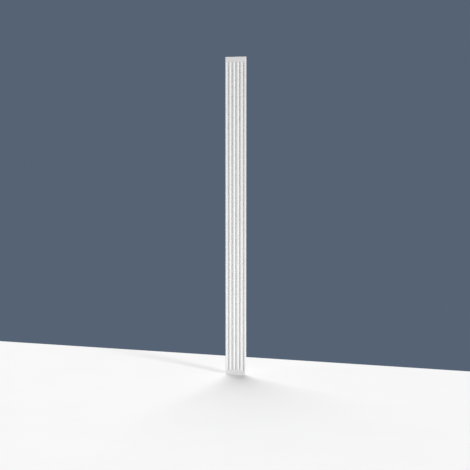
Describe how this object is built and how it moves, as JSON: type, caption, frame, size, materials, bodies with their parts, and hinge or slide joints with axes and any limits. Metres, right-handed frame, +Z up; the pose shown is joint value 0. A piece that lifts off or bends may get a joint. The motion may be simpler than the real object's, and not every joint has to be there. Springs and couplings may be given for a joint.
{
  "type": "fluted pilaster shaft",
  "caption": "Tall flat pilaster shaft with round-ended upright flutes between plain end bands, made to be fixed to a wall.",
  "frame": {"origin": "centre of the flat back, where the shaft meets the wall", "axes": "+Z up along the shaft, +Y out of the back into the wall, +X across, so the fluted face looks along -Y"},
  "size_m": [0.133, 0.018, 2],
  "materials": {
    "white_primer": "moulded rigid polyurethane foam with a factory coat of matte white primer, smooth on the face and plainer on the back"
  },
  "bodies": {
    "root": {"pilaster_shaft": "white_primer"}
  },
  "joints": []
}
